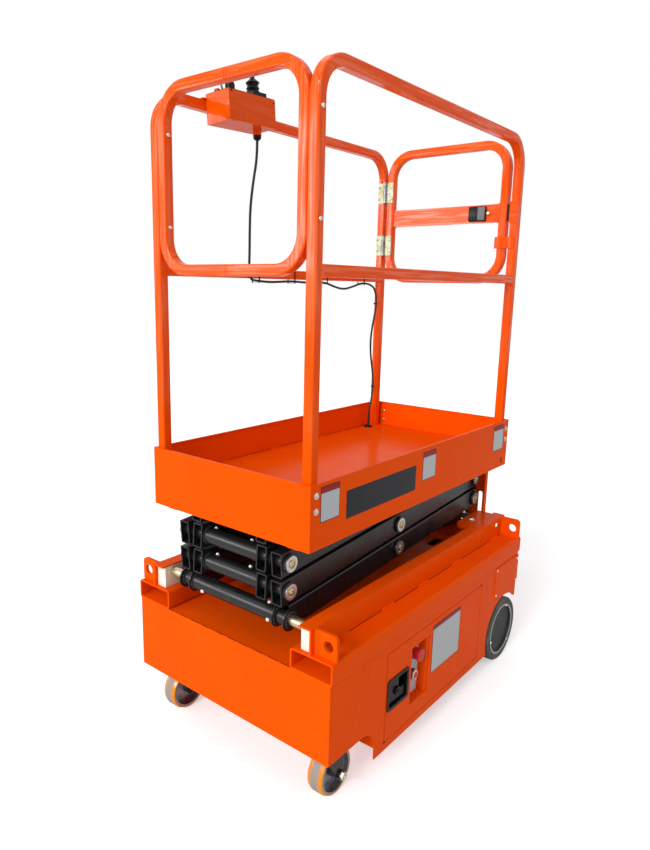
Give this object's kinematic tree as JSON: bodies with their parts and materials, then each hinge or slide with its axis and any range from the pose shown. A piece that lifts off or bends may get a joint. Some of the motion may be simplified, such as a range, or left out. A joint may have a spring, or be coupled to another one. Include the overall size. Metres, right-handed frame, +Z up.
{
  "type": "mini scissor lift",
  "caption": "Push-around scissor lift with a caged platform, folded arm stack, one lift cylinder, casters and fixed wheels.",
  "frame": {"origin": "on the floor, under the middle of the machine's length and width", "axes": "+X toward the gate end with the fixed wheels, +Y toward the far long side with the control box, +Z up"},
  "size_m": [1.215, 0.77, 2.0041],
  "materials": {
    "orange_paint": "gloss powder coat",
    "black_paint": "satin powder coat",
    "zinc_steel": "zinc plated",
    "bright_rod": "polished",
    "cast_rim": "cast",
    "white_nylon": "matt",
    "grey_rubber": "matt",
    "amber_tread": "semi-gloss",
    "black_plastic": "moulded",
    "red_plastic": "gloss",
    "battery_case": "matt",
    "cable_jacket": "matt"
  },
  "bodies": {
    "chassis": {"side_panel_near": "orange_paint", "side_panel_far": "orange_paint", "end_plates": "orange_paint", "top_tray": "orange_paint", "underframe": "orange_paint", "fork_tubes": "orange_paint", "slide_rails": "orange_paint", "lifting_lugs": "orange_paint", "step_plate": "orange_paint", "pivot_brackets": "orange_paint", "battery_pack": "battery_case", "control_niche": "orange_paint", "ground_controls": "red_plastic", "axle_stubs": "black_paint", "caster_plates": "zinc_steel"},
    "door_near": {"access_door_near": "orange_paint", "door_latch_near": "black_plastic"},
    "door_far": {"access_door_far": "orange_paint", "door_latch_far": "black_plastic"},
    "caster_swivel_near": {"caster_fork_near": "black_paint"},
    "caster_swivel_far": {"caster_fork_far": "black_paint"},
    "caster_wheel_near": {"caster_hub_near": "cast_rim", "caster_tyre_near": "amber_tread"},
    "caster_wheel_far": {"caster_hub_far": "cast_rim", "caster_tyre_far": "amber_tread"},
    "drive_wheel_near": {"drive_tyre_near": "grey_rubber", "drive_hub_near": "black_plastic"},
    "drive_wheel_far": {"drive_tyre_far": "grey_rubber", "drive_hub_far": "black_plastic"},
    "arms_inner_1": {"inner_frame_1": "black_paint", "pivot_pins_1": "zinc_steel"},
    "arms_outer_1": {"outer_arms_1": "black_paint", "roller_shaft": "zinc_steel"},
    "arms_inner_2": {"inner_frame_2": "black_paint", "pivot_pins_2": "zinc_steel"},
    "arms_outer_2": {"outer_arms_2": "black_paint"},
    "arms_inner_3": {"inner_frame_3": "black_paint", "pivot_pins_3": "zinc_steel"},
    "arms_outer_3": {"outer_arms_3": "black_paint"},
    "base_slides": {"base_slide_blocks": "white_nylon"},
    "deck_slides": {"deck_slide_blocks": "white_nylon"},
    "lift_barrel": {"cylinder_barrel": "black_paint"},
    "lift_rod": {"cylinder_rod": "bright_rod"},
    "platform": {"platform_deck": "orange_paint", "toe_boards": "orange_paint", "deck_channels": "orange_paint", "guard_rail_near": "orange_paint", "guard_rail_far": "orange_paint", "end_guard": "orange_paint", "control_box": "orange_paint", "control_levers": "black_plastic", "control_cable": "cable_jacket", "cable_ties": "black_plastic", "post_hinge_leaves": "zinc_steel"},
    "gate": {"gate_frame": "orange_paint", "gate_latch": "black_plastic", "gate_hinge_leaves": "zinc_steel"}
  },
  "joints": [
    {"name": "lift", "type": "hinge", "parent": "chassis", "child": "arms_inner_1", "pos_m": [0.555, 0, 0.512], "axis": [0, 1, 0], "range_deg": [0, 42.8]},
    {"name": "cross_1", "type": "hinge", "parent": "arms_inner_1", "child": "arms_outer_1", "pos_m": [0, 0, 0.552], "axis": [0, 1, 0], "range_deg": [-85.7, 0]},
    {"name": "base_slide_turn", "type": "hinge", "parent": "arms_outer_1", "child": "base_slides", "pos_m": [-0.555, 0, 0.512], "axis": [0, 1, 0], "range_deg": [0, 42.9]},
    {"name": "outer_2_foot", "type": "hinge", "parent": "arms_inner_1", "child": "arms_outer_2", "pos_m": [-0.555, 0, 0.592], "axis": [0, 1, 0], "range_deg": [-85.7, 0]},
    {"name": "cross_2", "type": "hinge", "parent": "arms_outer_2", "child": "arms_inner_2", "pos_m": [0, 0, 0.632], "axis": [0, 1, 0], "range_deg": [0, 85.7]},
    {"name": "outer_3_foot", "type": "hinge", "parent": "arms_inner_2", "child": "arms_outer_3", "pos_m": [-0.555, 0, 0.672], "axis": [0, 1, 0], "range_deg": [-85.7, 0]},
    {"name": "cross_3", "type": "hinge", "parent": "arms_outer_3", "child": "arms_inner_3", "pos_m": [0, 0, 0.712], "axis": [0, 1, 0], "range_deg": [0, 85.7]},
    {"name": "platform_level", "type": "hinge", "parent": "arms_outer_3", "child": "platform", "pos_m": [0.555, 0, 0.752], "axis": [0, 1, 0], "range_deg": [0, 42.9]},
    {"name": "deck_slide_turn", "type": "hinge", "parent": "arms_inner_3", "child": "deck_slides", "pos_m": [-0.555, 0, 0.752], "axis": [0, 1, 0], "range_deg": [-42.9, 0]},
    {"name": "barrel_pivot", "type": "hinge", "parent": "arms_inner_1", "child": "lift_barrel", "pos_m": [-0.468, 0, 0.56066], "axis": [0, 1, 0], "range_deg": [-92.1, 0]},
    {"name": "rod_stroke", "type": "slide", "parent": "lift_barrel", "child": "lift_rod", "axis": [0.9915, 0, 0.1297], "range_m": [0, 0.2486]},
    {"name": "door_near_hinge", "type": "hinge", "parent": "chassis", "child": "door_near", "pos_m": [0.2825, -0.38, 0.234], "axis": [0, 0, 1], "range_deg": [0, 100]},
    {"name": "door_far_hinge", "type": "hinge", "parent": "chassis", "child": "door_far", "pos_m": [0.2825, 0.38, 0.234], "axis": [0, 0, -1], "range_deg": [0, 100]},
    {"name": "gate_swing", "type": "hinge", "parent": "platform", "child": "gate", "pos_m": [0.54, 0.257, 1.65], "axis": [0, 0, -1], "range_deg": [0, 90]},
    {"name": "drive_wheel_near_spin", "type": "hinge", "parent": "chassis", "child": "drive_wheel_near", "pos_m": [0.493, -0.356, 0.122], "axis": [0, 1, 0], "continuous": true},
    {"name": "caster_near_swivel", "type": "hinge", "parent": "chassis", "child": "caster_swivel_near", "pos_m": [-0.532, -0.305, 0.15], "axis": [0, 0, 1], "continuous": true},
    {"name": "caster_near_spin", "type": "hinge", "parent": "caster_swivel_near", "child": "caster_wheel_near", "pos_m": [-0.492, -0.305, 0.07], "axis": [0, 1, 0], "continuous": true},
    {"name": "drive_wheel_far_spin", "type": "hinge", "parent": "chassis", "child": "drive_wheel_far", "pos_m": [0.493, 0.356, 0.122], "axis": [0, 1, 0], "continuous": true},
    {"name": "caster_far_swivel", "type": "hinge", "parent": "chassis", "child": "caster_swivel_far", "pos_m": [-0.532, 0.305, 0.15], "axis": [0, 0, 1], "continuous": true},
    {"name": "caster_far_spin", "type": "hinge", "parent": "caster_swivel_far", "child": "caster_wheel_far", "pos_m": [-0.492, 0.305, 0.07], "axis": [0, 1, 0], "continuous": true}
  ],
  "couplings": [
    {"joint": "cross_1", "follows": "lift", "ratio": -2},
    {"joint": "base_slide_turn", "follows": "lift", "ratio": 1},
    {"joint": "outer_2_foot", "follows": "lift", "ratio": -2},
    {"joint": "cross_2", "follows": "lift", "ratio": 2},
    {"joint": "outer_3_foot", "follows": "lift", "ratio": -2},
    {"joint": "cross_3", "follows": "lift", "ratio": 2},
    {"joint": "platform_level", "follows": "lift", "ratio": 1},
    {"joint": "deck_slide_turn", "follows": "lift", "ratio": -1},
    {"joint": "barrel_pivot", "follows": "lift", "ratio": -2.1504},
    {"joint": "rod_stroke", "follows": "lift", "m_per_rad": 0.33255}
  ]
}
